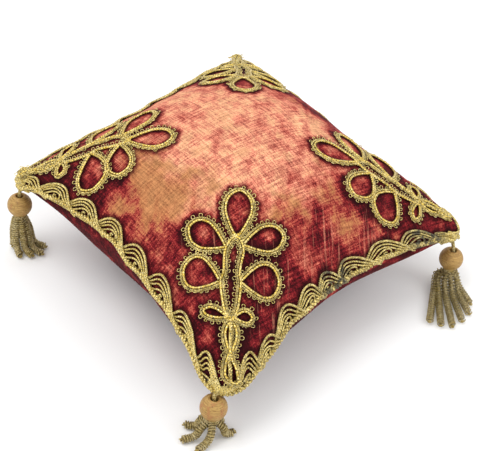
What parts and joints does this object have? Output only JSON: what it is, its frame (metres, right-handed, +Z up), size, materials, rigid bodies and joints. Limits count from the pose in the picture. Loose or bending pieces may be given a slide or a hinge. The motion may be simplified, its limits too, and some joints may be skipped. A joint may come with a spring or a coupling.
{
  "type": "communion cushion",
  "caption": "Plump square velvet kneeling cushion with scalloped metal braid round its seams, looped gold cord motifs in its corners and a beaded bullion tassel under each corner.",
  "frame": {"origin": "on the surface that the cushion rests on, in the middle of the flat patch of its underside, which is under the middle of its sides", "axes": "+Z up, out of the cushion's face; the sides run along X and Y, with the front corner at -X -Y, the right corner at +X -Y, the left corner at -X +Y and the back corner at +X +Y"},
  "size_m": [0.3254, 0.34, 0.1398],
  "materials": {
    "velvet": "worn cotton or silk velvet, deep crimson, rubbed pale on the crown",
    "gilt_cord": "smooth gilt metal-wrapped cord",
    "gilt_braid": "tarnished gilt metal-thread braid",
    "gilt_wood": "turned wood, rubbed gilding",
    "bullion": "dull silver-gilt coiled wire"
  },
  "bodies": {
    "root": {"cushion": "velvet", "braid_front_left": "gilt_braid", "braid_front_right": "gilt_braid", "braid_back_left": "gilt_braid", "braid_back_right": "gilt_braid", "motif_front": "gilt_cord", "bead_front": "gilt_wood", "tassel_front": "bullion", "motif_right": "gilt_cord", "bead_right": "gilt_wood", "tassel_right": "bullion", "motif_left": "gilt_cord", "bead_left": "gilt_wood", "tassel_left": "bullion", "motif_back": "gilt_cord", "bead_back": "gilt_wood", "tassel_back": "bullion"}
  },
  "joints": []
}
